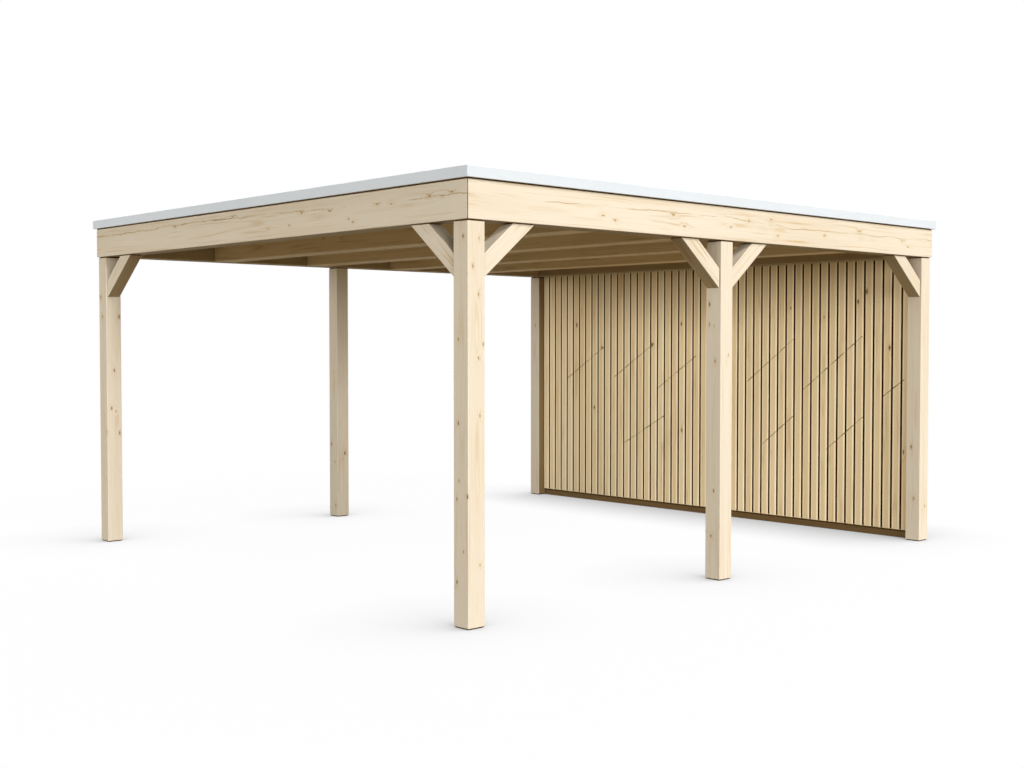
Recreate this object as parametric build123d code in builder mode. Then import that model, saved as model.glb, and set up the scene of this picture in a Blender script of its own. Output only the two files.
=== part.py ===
from build123d import *
import os
from math import sqrt

# A flat-roofed timber carport in planed spruce: six posts, a mitred ring of beams,
# rafters across the width, knee braces, a boarded back wall and a metal-edged roof.
# Millimetres, +Z up. The entrance faces -Y and the wall closes the +Y end.
# The origin is on the floor, under the middle of the roof.

# Plan and height, over the outer faces of the posts
WIDTH = 4360.0
DEPTH = 4740.0
CLEAR_HEIGHT = 2200.0
# Front of the carport to the middle of the middle posts
MIDDLE_POST_SETBACK = 2210.0

# Timber sections
POST_SECTION = 120.0
BEAM_HEIGHT = 220.0
BEAM_OVERHANG = 10.0
BEAM_TOP_CHAMFER = 10.0
RAFTER_WIDTH = 180.0
RAFTER_COUNT = 4
BRACE_SECTION = 100.0
BRACE_RUN = 385.0
BRACE_DROP = 312.0
EASED_EDGE = 4.0

# Roof covering and its edge
DECK_THICKNESS = 20.0
DECK_OVERHANG = 18.0
KERB_WIDTH = 60.0
KERB_HEIGHT = 38.0
MEMBRANE_THICKNESS = 4.0
TRIM_SHEET = 2.0
TRIM_LIP = 8.0
TRIM_RETURN = 14.0

# Back wall: upright boards nailed to rails that lie flush with the back of the posts
BOARD_THICKNESS = 20.0
BOARD_COVER = 84.0
BOARD_FLOOR_GAP = 45.0
GROOVE_WIDTH = 14.0
GROOVE_DEPTH = 12.0
RAIL_THICKNESS = 36.0
RAIL_HEIGHT = 95.0

SIDES = ("front", "right", "rear", "left")
RUN_AXIS = {"front": Axis.X, "right": Axis.Y, "rear": Axis.X, "left": Axis.Y}

half_width = WIDTH / 2
half_depth = DEPTH / 2
beam_width = POST_SECTION + 2 * BEAM_OVERHANG
beam_half_x = half_width + BEAM_OVERHANG
beam_half_y = half_depth + BEAM_OVERHANG
beam_top = CLEAR_HEIGHT + BEAM_HEIGHT
deck_half_x = beam_half_x + DECK_OVERHANG
deck_half_y = beam_half_y + DECK_OVERHANG
deck_top = beam_top + DECK_THICKNESS
kerb_top = deck_top + KERB_HEIGHT

os.makedirs("parts", exist_ok=True)


def plan_corners(half_x, half_y):
    """Corners of a rectangle about the origin, from the front left one, anticlockwise."""
    return [(-half_x, -half_y), (half_x, -half_y), (half_x, half_y), (-half_x, half_y)]


def mitred_plan(side, half_x, half_y, width):
    """Plan of one bar of a ring whose bars meet in mitres at the four corners."""
    first = SIDES.index(side)
    second = (first + 1) % len(SIDES)
    outer = plan_corners(half_x, half_y)
    inner = plan_corners(half_x - width, half_y - width)
    return [outer[first], outer[second], inner[second], inner[first]]


# Posts: square, standing on the floor, their long edges eased
post_x = half_width - POST_SECTION / 2
post_rows = {
    "front": -half_depth + POST_SECTION / 2,
    "middle": -half_depth + MIDDLE_POST_SETBACK,
    "rear": half_depth - POST_SECTION / 2,
}
post_columns = {"left": -post_x, "right": post_x}

for row, y in post_rows.items():
    for column, x in post_columns.items():
        with BuildPart() as post:
            with BuildSketch(Plane(origin=(x, y, 0))):
                Rectangle(POST_SECTION, POST_SECTION)
            extrude(amount=CLEAR_HEIGHT)
            chamfer(post.edges().filter_by(Axis.Z), EASED_EDGE)
        post.part.label = f"{row}_{column}_post"
        export_step(post.part, f"parts/{row}_{column}_post.step")

# Beams: a ring on the post heads, a little wider than the posts, mitred at the corners.
# Their bottom edges are eased, and a wider chamfer along the top keeps water off the joint.
for side in SIDES:
    with BuildPart() as beam:
        with BuildSketch(Plane.XY.offset(CLEAR_HEIGHT)):
            Polygon(*mitred_plan(side, beam_half_x, beam_half_y, beam_width), align=None)
        extrude(amount=BEAM_HEIGHT)
        chamfer(beam.edges().filter_by(RUN_AXIS[side]).group_by(Axis.Z)[0], EASED_EDGE)
        top_edges = beam.edges().filter_by(RUN_AXIS[side]).group_by(Axis.Z)[-1]
        chamfer(top_edges.sort_by(SortBy.LENGTH)[-1], BEAM_TOP_CHAMFER)
    beam.part.label = f"{side}_beam"
    export_step(beam.part, f"parts/{side}_beam.step")

# Rafters: evenly spaced between the front and rear beams, as deep as the beams
rafter_length = 2 * (beam_half_x - beam_width)
rafter_pitch = 2 * (beam_half_y - beam_width) / (RAFTER_COUNT + 1)

for number in range(1, RAFTER_COUNT + 1):
    y = -beam_half_y + beam_width + number * rafter_pitch
    with BuildPart() as rafter:
        with BuildSketch(Plane(origin=(0, y, CLEAR_HEIGHT))):
            Rectangle(rafter_length, RAFTER_WIDTH)
        extrude(amount=BEAM_HEIGHT)
        chamfer(rafter.edges().filter_by(Axis.X), EASED_EDGE)
    rafter.part.label = f"rafter_{number}"
    export_step(rafter.part, f"parts/rafter_{number}.step")

# Knee braces: square, cut to lie flat against the post's face and the beam's underside.
# Each has its post and the way it leans from that post.
brace_length = sqrt(BRACE_RUN**2 + BRACE_DROP**2)
inner_share = 1 - BRACE_SECTION * brace_length / (BRACE_RUN * BRACE_DROP)
braces = {
    "front_left_inward_brace": ("front", "left", (1, 0)),
    "front_right_inward_brace": ("front", "right", (-1, 0)),
    "front_right_side_brace": ("front", "right", (0, 1)),
    "middle_right_front_brace": ("middle", "right", (0, -1)),
    "middle_right_rear_brace": ("middle", "right", (0, 1)),
    "rear_right_side_brace": ("rear", "right", (0, -1)),
}

for name, (row, column, (lean_x, lean_y)) in braces.items():
    corner_x = post_columns[column] + lean_x * POST_SECTION / 2
    corner_y = post_rows[row] + lean_y * POST_SECTION / 2
    upright = Plane(
        origin=(corner_x, corner_y, CLEAR_HEIGHT),
        x_dir=(lean_x, lean_y, 0),
        z_dir=(lean_y, -lean_x, 0),
    )
    grain = Axis((0, 0, 0), (lean_x * BRACE_RUN, lean_y * BRACE_RUN, BRACE_DROP))
    with BuildPart() as brace:
        with BuildSketch(upright):
            Polygon(
                (0, -BRACE_DROP),
                (BRACE_RUN, 0),
                (inner_share * BRACE_RUN, 0),
                (0, -inner_share * BRACE_DROP),
                align=None,
            )
        extrude(amount=BRACE_SECTION / 2, both=True)
        chamfer(brace.edges().filter_by(grain), EASED_EDGE)
    brace.part.label = name
    export_step(brace.part, f"parts/{name}.step")

# Back wall: the space between the rear posts
wall_width = WIDTH - 2 * POST_SECTION
rail_front = half_depth - RAIL_THICKNESS
rail_middle = half_depth - RAIL_THICKNESS / 2
rail_bottoms = {
    "back_wall_sole_plate": 0,
    "back_wall_middle_rail": (CLEAR_HEIGHT - RAIL_HEIGHT) / 2,
    "back_wall_top_rail": CLEAR_HEIGHT - RAIL_HEIGHT,
}

for name, bottom in rail_bottoms.items():
    with BuildPart() as rail:
        with BuildSketch(Plane(origin=(0, rail_middle, bottom))):
            Rectangle(wall_width, RAIL_THICKNESS)
        extrude(amount=RAIL_HEIGHT)
    rail.part.label = name
    export_step(rail.part, f"parts/{name}.step")

# Wall boards: tongued together, so the grooves between them are dark but closed.
# They hang clear of the floor and reach up to the rear beam.
board_height = CLEAR_HEIGHT - BOARD_FLOOR_GAP
board_middle = BOARD_FLOOR_GAP + board_height / 2
board_count = round(wall_width / BOARD_COVER)
board_pitch = wall_width / board_count
boards_front = Plane(origin=(0, rail_front - BOARD_THICKNESS, board_middle), x_dir=(1, 0, 0), z_dir=(0, -1, 0))

with BuildPart() as boards:
    with BuildSketch(boards_front):
        Rectangle(wall_width, board_height)
    extrude(amount=-BOARD_THICKNESS)
    with BuildSketch(boards_front):
        with GridLocations(board_pitch, 0, board_count - 1, 1):
            Rectangle(GROOVE_WIDTH, board_height)
    extrude(amount=-GROOVE_DEPTH, mode=Mode.SUBTRACT)
boards.part.label = "back_wall_boards"
export_step(boards.part, "parts/back_wall_boards.step")

# Roof deck: boarding laid over the beams and rafters, out to the metal edge
with BuildPart() as deck:
    with BuildSketch(Plane.XY.offset(beam_top)):
        Rectangle(2 * deck_half_x, 2 * deck_half_y)
    extrude(amount=DECK_THICKNESS)
deck.part.label = "roof_deck"
export_step(deck.part, "parts/roof_deck.step")

# Kerbs: battens round the edge of the deck that the metal edge is fixed to
for side in SIDES:
    with BuildPart() as kerb:
        with BuildSketch(Plane.XY.offset(deck_top)):
            Polygon(*mitred_plan(side, deck_half_x, deck_half_y, KERB_WIDTH), align=None)
        extrude(amount=KERB_HEIGHT)
    kerb.part.label = f"{side}_kerb"
    export_step(kerb.part, f"parts/{side}_kerb.step")

# Roof membrane: one sheet, turned up against the kerbs to their full height
with BuildPart() as membrane:
    with BuildSketch(Plane.XY.offset(deck_top)):
        Rectangle(2 * (deck_half_x - KERB_WIDTH), 2 * (deck_half_y - KERB_WIDTH))
    extrude(amount=KERB_HEIGHT)
    tray_top = membrane.faces().sort_by(Axis.Z)[-1]
    offset(amount=-MEMBRANE_THICKNESS, openings=tray_top)
membrane.part.label = "roof_membrane"
export_step(membrane.part, "parts/roof_membrane.step")

# Roof-edge trim: sheet folded round the kerb. A short return closes the underside of the
# deck's overhang, the face covers deck and kerb, and the top ends in a lip past the
# turned-up membrane. Its four lengths meet in mitres.
trim_half_x = deck_half_x + TRIM_SHEET
trim_half_y = deck_half_y + TRIM_SHEET
trim_bottom = beam_top - TRIM_SHEET
trim_height = kerb_top - trim_bottom
trim_cover = TRIM_SHEET + KERB_WIDTH + MEMBRANE_THICKNESS + TRIM_LIP

for side in SIDES:
    with BuildPart() as trim:
        with BuildSketch(Plane.XY.offset(trim_bottom)):
            Polygon(*mitred_plan(side, trim_half_x, trim_half_y, TRIM_RETURN), align=None)
        extrude(amount=TRIM_SHEET)
        with BuildSketch(Plane.XY.offset(trim_bottom)):
            Polygon(*mitred_plan(side, trim_half_x, trim_half_y, TRIM_SHEET), align=None)
        extrude(amount=trim_height)
        with BuildSketch(Plane.XY.offset(kerb_top)):
            Polygon(*mitred_plan(side, trim_half_x, trim_half_y, trim_cover), align=None)
        extrude(amount=TRIM_SHEET)
    trim.part.label = f"{side}_roof_edge_trim"
    export_step(trim.part, f"parts/{side}_roof_edge_trim.step")
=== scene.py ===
"""The looks of a flat-roofed timber carport: a planed spruce frame, a boarded back wall
closing one end, and a flat roof with a pale metal edge."""
import itertools
import math
import random

import bpy
import numpy as np
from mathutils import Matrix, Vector


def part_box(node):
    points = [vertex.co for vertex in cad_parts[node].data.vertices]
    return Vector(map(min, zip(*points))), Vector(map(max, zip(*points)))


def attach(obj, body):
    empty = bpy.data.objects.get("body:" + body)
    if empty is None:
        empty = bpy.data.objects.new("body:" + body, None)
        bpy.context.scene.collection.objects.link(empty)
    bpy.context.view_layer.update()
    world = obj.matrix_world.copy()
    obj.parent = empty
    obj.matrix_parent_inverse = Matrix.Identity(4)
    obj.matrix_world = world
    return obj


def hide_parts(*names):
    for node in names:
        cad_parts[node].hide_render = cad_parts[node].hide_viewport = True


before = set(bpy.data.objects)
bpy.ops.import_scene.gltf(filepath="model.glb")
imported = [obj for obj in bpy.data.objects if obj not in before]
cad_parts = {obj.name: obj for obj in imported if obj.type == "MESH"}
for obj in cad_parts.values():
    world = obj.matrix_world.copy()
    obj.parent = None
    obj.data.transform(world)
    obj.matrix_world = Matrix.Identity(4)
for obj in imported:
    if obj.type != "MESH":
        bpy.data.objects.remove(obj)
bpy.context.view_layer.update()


# Posts: six lengths of planed spruce that stand on the floor and carry the beams. Each is sawn
# round the heart of a small log, with eased edges, fine drying checks, and bevelled end grain that is
# darker. The dark bevels at the head and foot are also painted shade: the shadow line under the beam
# and the dark line where the post meets the floor. The sides of the rear posts next to the wall are
# darkened with painted shade from the wall.

UP = Vector((0, 0, 1))
RIGHT = Vector((1, 0, 0))
BACK = Vector((0, 1, 0))
SQUARE_ENDS = (0, 0)
# An eased edge: how much is taken off it, and in how many steps
EASED = (0.004, 3)
# Widths of a mesh's strips round a bar, and of its rings along the bar
STRIP = 0.05
RING_STEP = 0.06
# A width too thin to see, a distance too far to matter, and the distance from one log to the next
HAIRLINE = 0.0002
NOWHERE = 9.0
LOG_GAP = 23.0
# The tone of the darker end grain, where bare wood has a tone of about 1. On the bevelled ends of
# posts and braces, and on the beams' top chamfer, the same dark is also painted shade: shadow lines
DARK_END_AND_SHADE_LINE = 0.2

PALE_SPRUCE = (0.65, 0.58, 0.469)
AMBER_SPRUCE = (0.509, 0.363, 0.205)
VEIN_OCHRE = (0.39, 0.26, 0.11)
KNOT_OCHRE = (0.375, 0.24, 0.10)
KNOT_BROWN = (0.125, 0.067, 0.025)
# Powers of a face's tone for red, green and blue: what is darker is browner as well
BROWNING = (1.0, 1.25, 1.75)
RING_WIDTH = 0.0072
RING_WAVER = 0.03
RING_CONTRAST = 3.0
KNOT_STRETCH = (0.45, 1.0, 1.0)
ACROSS_GRAIN = (0.0, 1.0, 1.0)
# How fine the figure of the wood is, in waves a metre along the grain and across it
KNOT_EDGE_WAVES = (150.0, 260.0, 260.0)
RING_WAVES = (0.9, 7.0, 7.0)
FIBRE_WAVES = (9.0, 380.0, 380.0)
STROKE_WAVES = (2.6, 40.0, 40.0)
WANDER_WAVES = (6.0, 9.0, 9.0)
SQUIGGLE_WAVES = (34.0, 60.0, 60.0)
# Streaks and clouds follow the rings: their waves a metre go across the rings and along the grain
STREAK_WAVES = (170.0, 1.6, 1.0)
CLOUD_WAVES = (24.0, 0.5, 1.0)
# Where in its noise each of these starts to show, and where it shows in full
STREAK_ONSET = (0.54, 0.72)
CLOUD_ONSET = (0.40, 0.75)
FIBRE_ONSET = (0.35, 0.75)
STROKE_ONSET = (0.38, 0.54)
KNOT_EDGE_ONSET = (0.2, 0.8)
# How far each of these turns pale wood to amber, or amber to its own colour
STREAK_SHARE = 0.62
CLOUD_SHARE = 0.22
FIBRE_SHARE = 0.12
RING_SHARE = 0.13
KNOT_RING_SHARE = 0.5
HALO_SHARE = 0.7
VEIN_SHARE = 0.75
KNOT_SHARE = 0.9
# Round a knot, in its radii: how far it is felt and where in full, where and how far the rings part,
# where its amber halo and its own brown start and are full, and how its edge comes and goes
KNOT_REACH = 6.0
CLOSE_TO_KNOT = 1.2
PARTED_RINGS = (0.6, 1.6)
HALO_EDGE = (2.2, 1.0)
KNOT_EDGE = (1.05, 0.6)
KNOT_RAGGED = (0.7, 1.35)
VEIN_WANDER = 0.036
# How far from its line the vein, and the tangled grain along it, have faded, and where they are full
VEIN_WIDTHS = (0.0048, 0.0008)
TANGLE_WIDTHS = (0.035, 0.006)
# Roughness of pale and of amber wood, and the share of amber from which it is smoothest
WOOD_ROUGHNESS = (0.68, 0.52)
SMOOTHEST_SHARE = 0.8
WOOD_SHEEN = 0.05
FIBRE_RELIEF = 0.45
RING_RELIEF = 0.35
WOOD_RELIEF = 0.0006

# Knots grow in whorls: how many together, how dark, how far apart, and how evenly along the log
WHORL_KNOTS = (1, 2)
WHORL_RADII = (0.002, 0.005)
WHORL_DARK = (0.0, 0.6)
WHORL_SPREAD = (0.02, 0.08)
WHORL_START = (0.2, 0.9)
WHORL_PITCH = (0.6, 1.4)
TIMBER_BEVEL = 0.003
TIMBER_TONES = (0.965, 1.02)

POST_ROWS = ("front", "middle", "rear")
POST_COLUMNS = ("left", "right")
POST_BEVEL = 0.009
POST_HEART = 0.028
POST_WHORL = 1.1
# How dark the painted shade makes the rear posts' sides next to the wall
POST_BY_WALL_SHADE = 0.4
POST_STREAKS = 0.6
CHECKS_PER_POST = 2
CHECK_ACROSS = 0.5
# Where a check starts and ends, from the middle of the post, and how wide it gapes
CHECK_LIMITS = ((-1.0, -0.1), (0.1, 1.0), (0.0006, 0.0014))
CHECK_DEPTH = 0.012
CHECK_DRIFT = 0.006
# The waves in which a check drifts: their weights, and their radians a metre
CHECK_WAVES = ((1.0, 1.9), (0.4, 7.3))
SLIT_POINTS = 3
# Knots that show most: their places on the faces of the posts, their radii and how dark they are
POST_MARKS = {
    "front_right_post": [
        ((2.140, -2.37, 2.11), 0.0055, 1.0), ((2.100, -2.37, 1.56), 0.0045, 0.6),
        ((2.100, -2.37, 1.11), 0.0055, 0.6), ((2.105, -2.37, 0.80), 0.0035, 0.5),
        ((2.087, -2.37, 0.70), 0.0045, 0.8), ((2.174, -2.37, 0.72), 0.006, 0.8),
        ((2.141, -2.37, 0.42), 0.0035, 0.5), ((2.087, -2.37, 0.25), 0.0055, 0.8),
        ((2.18, -2.335, 1.95), 0.006, 0.1), ((2.18, -2.292, 2.10), 0.004, 0.0),
        ((2.18, -2.295, 1.80), 0.005, 0.1), ((2.18, -2.296, 1.46), 0.0045, 0.5),
        ((2.18, -2.286, 1.15), 0.0045, 0.2),
    ],
    "front_left_post": [
        ((-2.149, -2.37, 1.89), 0.007, 1.0), ((-2.125, -2.37, 1.74), 0.006, 0.8),
        ((-2.06, -2.266, 1.74), 0.007, 0.8), ((-2.06, -2.309, 1.325), 0.006, 0.8),
        ((-2.06, -2.333, 1.034), 0.006, 0.9), ((-2.06, -2.298, 1.01), 0.004, 0.7),
        ((-2.06, -2.269, 0.84), 0.007, 0.7), ((-2.068, -2.37, 0.85), 0.004, 0.5),
    ],
    "middle_right_post": [
        ((2.086, -0.22, 1.79), 0.007, 0.9), ((2.086, -0.22, 1.66), 0.005, 0.4),
        ((2.120, -0.22, 1.65), 0.005, 0.4), ((2.133, -0.22, 1.42), 0.005, 0.5),
        ((2.127, -0.22, 0.58), 0.005, 0.8), ((2.079, -0.22, 0.30), 0.004, 0.7),
        ((2.106, -0.22, 0.285), 0.005, 0.8), ((2.18, -0.142, 1.46), 0.004, 0.2),
    ],
    "middle_left_post": [
        ((-2.148, -0.22, 0.64), 0.006, 0.7), ((-2.088, -0.22, 0.10), 0.006, 0.5),
        ((-2.06, -0.141, 0.56), 0.008, 0.8),
    ],
    "rear_right_post": [
        ((2.104, 2.25, 0.73), 0.008, 0.3), ((2.131, 2.25, 0.33), 0.007, 0.1),
        ((2.18, 2.329, 0.27), 0.006, 0.3),
    ],
}


def planed_outline(width, depth, corners, strip):
    """The section of a planed bar, anticlockwise: eased corners, and flat sides in strips.

    A corner is its ease and its number of steps: one step makes a flat chamfer. Gives the
    points and, for each of the four sides, the numbers of its strip points."""
    quarters = ((1, -1), (1, 1), (-1, 1), (-1, -1))
    arcs = []
    for number, ((x, y), (ease, steps)) in enumerate(zip(quarters, corners)):
        centre = np.array((x * (width / 2 - ease), y * (depth / 2 - ease)))
        turns = [math.radians(90 * (number - 1 + step / steps)) for step in range(steps + 1)]
        arcs.append([centre + (ease * math.cos(turn), ease * math.sin(turn)) for turn in turns])
    points = []
    strip_points = []
    for arc, next_arc in zip(arcs, arcs[1:] + arcs[:1]):
        points += arc
        start, end = arc[-1], next_arc[0]
        count = max(1, round(np.linalg.norm(end - start) / strip))
        strip_points.append(list(range(len(points), len(points) + count - 1)))
        points += [start + (end - start) * number / count for number in range(1, count)]
    return np.array(points), strip_points


def checked_outline(width, depth, corners, checks):
    """The section of a bar as a function of the distance along it, with its checks open there.

    A check is (side, share across the side, start, end, gape): a slit that opens between start
    and end, and drifts a little across the side as it follows the grain."""
    points, strip_points = planed_outline(width, depth, corners, STRIP)
    taken = {}
    for check in checks:
        side, across_share = check[:2]
        row = strip_points[side]
        taken[row[min(len(row) - 1, int(across_share * (len(row) + 1)))]] = check
    base = []
    slits = []
    for number, point in enumerate(points):
        if number in taken:
            slits.append((len(base), taken[number]))
        base += [point] * (SLIT_POINTS if number in taken else 1)
    base = np.array(base)

    def outline_at(distance):
        section = base.copy()
        for first, (side, _, start, end, gape) in slits:
            out = np.array((math.cos(math.radians(90 * side)), math.sin(math.radians(90 * side))))
            run = np.array((-out[1], out[0]))
            share = min(1.0, max(0.0, (distance - start) / (end - start)))
            opening = math.sqrt(math.sin(math.pi * share))
            waves = zip(CHECK_WAVES, (start, end))
            wander = sum(weight * math.sin(turn * distance + phase) for (weight, turn), phase in waves)
            section[first:first + SLIT_POINTS] += run * wander * CHECK_DRIFT
            section[first] -= run * (HAIRLINE + opening * gape / 2)
            section[first + 1] -= out * (HAIRLINE + opening * CHECK_DEPTH)
            section[first + 2] += run * (HAIRLINE + opening * gape / 2)
        return section

    return outline_at


def loft(outline_at, length, mitre, bevel, spacing):
    """A straight bar with closed, bevelled ends in its own frame: along, across, through.

    The mitre's two slopes slant its ends, so that it is longest at its outer side. Gives the
    points, the faces, and which of the faces belong to the ends."""
    half = length / 2
    rings = [(share, bevel, 0.0) for share in np.linspace(-1, 1, max(2, round(length / spacing)) + 1)]
    if bevel:
        rings = [(-1, 0.0, bevel), *rings, (1, 0.0, bevel)]
    points = []
    for share, setback, shrink in rings:
        section = outline_at(share * half)
        low, high = section.min(0), section.max(0)
        section = (low + high) / 2 + (section - (low + high) / 2) * (1 - 2 * shrink / (high - low))
        slope = mitre[1] if share > 0 else mitre[0]
        points.append(np.column_stack((share * (half - setback + slope * section[:, 0]), section)))
    around = len(points[0])
    faces = []
    for ring in range(len(rings) - 1):
        for number in range(around):
            after = (number + 1) % around
            near, far = ring * around, (ring + 1) * around
            faces.append((near + number, near + after, far + after, far + number))
    ends = np.zeros(len(faces) + 2, bool)
    ends[-2:] = True
    if bevel:
        ends[:around] = True
        ends[-around - 2:] = True
    faces.append(tuple(reversed(range(around))))
    faces.append(tuple(range((len(rings) - 1) * around, len(rings) * around)))
    return np.concatenate(points), faces, ends


def whorls(dice, length, width, depth, heart, spacing):
    """Knots where branches left the stem: one or two together, every so often along the log."""
    knots = []
    along = -length / 2 + spacing * dice.uniform(*WHORL_START)
    while along < length / 2:
        for _ in range(dice.randint(*WHORL_KNOTS)):
            turn = dice.uniform(0, 2 * math.pi)
            way = (math.cos(turn), math.sin(turn))
            reach = min(
                (math.copysign(size / 2, step) - middle) / step
                for size, step, middle in zip((width, depth), way, heart)
            )
            spot = [middle + reach * step for middle, step in zip(heart, way)]
            knots.append((along, *spot, dice.uniform(*WHORL_RADII), dice.uniform(*WHORL_DARK)))
            along += dice.uniform(*WHORL_SPREAD)
        along += spacing * dice.uniform(*WHORL_PITCH)
    return knots


log_numbers = itertools.count(1)


def sawn(shape, middle, axes, knots, heart, tone, vein=()):
    """One bar where it stands, with what its finish needs to know of the wood it is sawn from.

    The vein is a brown line along the grain, given by points that it passes, in the bar's frame."""
    points, faces, ends = shape
    log = np.array((LOG_GAP * next(log_numbers), -heart[0], -heart[1]))
    centres = np.array([points[list(face)].mean(0) for face in faces])
    knots = np.array(knots or [(NOWHERE, 0, 0, HAIRLINE, 0)])
    nearest = np.linalg.norm(centres[:, None] - knots[None, :, :3], axis=2).argmin(1)
    off_vein = np.full(len(points), NOWHERE)
    if vein:
        off_vein = points[:, 2] - np.interp(points[:, 0], *np.array(vein).T)
    # End faces take the dark end-grain tone, which on bevelled ends is also painted shade
    return {
        "place": np.array(middle) + points @ axes,
        "faces": faces,
        "grain": points + log,
        "off_vein": off_vein,
        "knot_at": knots[nearest, :3] + log,
        "knot_radius": knots[nearest, 3],
        "knot_dark": knots[nearest, 4],
        "tone": np.where(ends, DARK_END_AND_SHADE_LINE, tone),
    }


def face_middles(bar):
    """The middle of each face of a bar, where it stands."""
    return np.array([bar["place"][list(face)].mean(0) for face in bar["faces"]])


def darken_shaded_side(bar, way, tone):
    """Darkens with painted shade the side of a bar that faces a way."""
    reach = (bar["place"] @ np.array(way)).max()
    bar["tone"][face_middles(bar) @ np.array(way) > reach - HAIRLINE] *= tone


def timber(name, middle, along, across, size, mitre=SQUARE_ENDS, corners=(EASED,) * 4,
           bevel=TIMBER_BEVEL, heart_drift=POST_HEART, whorl=POST_WHORL, checks=(), marks=(), vein=()):
    """A planed bar about its middle; size is its length there, its width across and its depth."""
    dice = random.Random(name)
    length, width, depth = size
    axes = np.array((along, across, along.cross(across)))
    heart = (dice.uniform(-heart_drift, heart_drift), dice.uniform(-heart_drift, heart_drift))
    knots = whorls(dice, length, width, depth, heart, whorl)
    for spot, radius, dark in marks:
        knots.append((*(axes @ (np.array(spot) - np.array(middle))), radius, dark))
    shape = loft(checked_outline(width, depth, corners, checks), length, mitre, bevel, RING_STEP)
    return sawn(shape, middle, axes, knots, heart, dice.uniform(*TIMBER_TONES), vein)


# What a mesh carries for its finish: the kind of value, whether points or faces have it, its field
WOOD_FACTS = {
    "grain": ("FLOAT_VECTOR", "POINT", "vector"),
    "off_vein": ("FLOAT", "POINT", "value"),
    "knot_at": ("FLOAT_VECTOR", "FACE", "vector"),
    "knot_radius": ("FLOAT", "FACE", "value"),
    "knot_dark": ("FLOAT", "FACE", "value"),
    "tone": ("FLOAT", "FACE", "value"),
}


def fit(name, bars, material, node):
    """Makes one piece of one or more bars, in place of the node that it stands for."""
    mesh = bpy.data.meshes.new(name)
    starts = np.cumsum([0] + [len(bar["place"]) for bar in bars]).tolist()
    faces = [
        [start + point for point in face]
        for bar, start in zip(bars, starts) for face in bar["faces"]
    ]
    mesh.from_pydata(np.concatenate([bar["place"] for bar in bars]).tolist(), [], faces)
    for fact, (kind, domain, field) in WOOD_FACTS.items():
        if fact in bars[0]:
            values = np.concatenate([bar[fact] for bar in bars]).astype(np.float32)
            mesh.attributes.new(fact, kind, domain).data.foreach_set(field, values.ravel())
    mesh.materials.append(material)
    piece = bpy.data.objects.new(name, mesh)
    bpy.context.scene.collection.objects.link(piece)
    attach(piece, "root")
    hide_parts(node)


# Sockets of a colour mix: its share and its two colours, and its result
MIX_SOCKETS = (0, 6, 7)
MIX_RESULT = 2


class Shading:
    """The nodes of a material or a world while they are put together: each step gives its output."""

    def __init__(self, owner):
        owner.use_nodes = True
        self.owner = owner
        self.nodes = owner.node_tree.nodes
        self.links = owner.node_tree.links
        self.surface = self.nodes.get("Principled BSDF")
        self.colour = None

    def feed(self, socket, value):
        """Links an output to the socket, or sets the socket to a plain value."""
        if isinstance(value, bpy.types.NodeSocket):
            self.links.new(value, socket)
        else:
            socket.default_value = value

    def attribute(self, name, output):
        found = self.nodes.new("ShaderNodeAttribute")
        found.attribute_name = name
        return found.outputs[output]

    def math(self, operation, *values):
        step = self.nodes.new("ShaderNodeMath")
        step.operation = operation
        for socket, value in zip(step.inputs, values):
            self.feed(socket, value)
        return step.outputs["Value"]

    def vector(self, operation, *values):
        step = self.nodes.new("ShaderNodeVectorMath")
        step.operation = operation
        for socket, value in zip(step.inputs, values):
            self.feed(socket, value)
        return step.outputs["Value" if operation in ("LENGTH", "DOT_PRODUCT") else "Vector"]

    def part(self, vector, axis):
        split = self.nodes.new("ShaderNodeSeparateXYZ")
        self.links.new(vector, split.inputs["Vector"])
        return split.outputs[axis]

    def join(self, x, y, z):
        joined = self.nodes.new("ShaderNodeCombineXYZ")
        for socket, value in zip(joined.inputs, (x, y, z)):
            self.feed(socket, value)
        return joined.outputs["Vector"]

    def noise(self, place, waves, detail=2.0):
        cloud = self.nodes.new("ShaderNodeTexNoise")
        self.links.new(self.vector("MULTIPLY", place, waves), cloud.inputs["Vector"])
        cloud.inputs["Scale"].default_value = 1.0
        cloud.inputs["Detail"].default_value = detail
        return cloud.outputs["Fac"]

    def ease(self, value, start, end, low=0.0, high=1.0):
        """Goes smoothly from low at start to high at end."""
        eased = self.nodes.new("ShaderNodeMapRange")
        eased.interpolation_type = "SMOOTHSTEP"
        for name, given in (("Value", value), ("From Min", start), ("From Max", end),
                            ("To Min", low), ("To Max", high)):
            self.feed(eased.inputs[name], given)
        return eased.outputs["Result"]

    def mix(self, share, first, second):
        mixer = self.nodes.new("ShaderNodeMix")
        mixer.data_type = "RGBA"
        for number, value in zip(MIX_SOCKETS, (share, first, second)):
            self.feed(mixer.inputs[number], (*value, 1.0) if isinstance(value, tuple) else value)
        return mixer.outputs[MIX_RESULT]

    def bump(self, height, distance):
        relief = self.nodes.new("ShaderNodeBump")
        self.links.new(height, relief.inputs["Height"])
        relief.inputs["Distance"].default_value = distance
        self.links.new(relief.outputs["Normal"], self.surface.inputs["Normal"])


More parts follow.
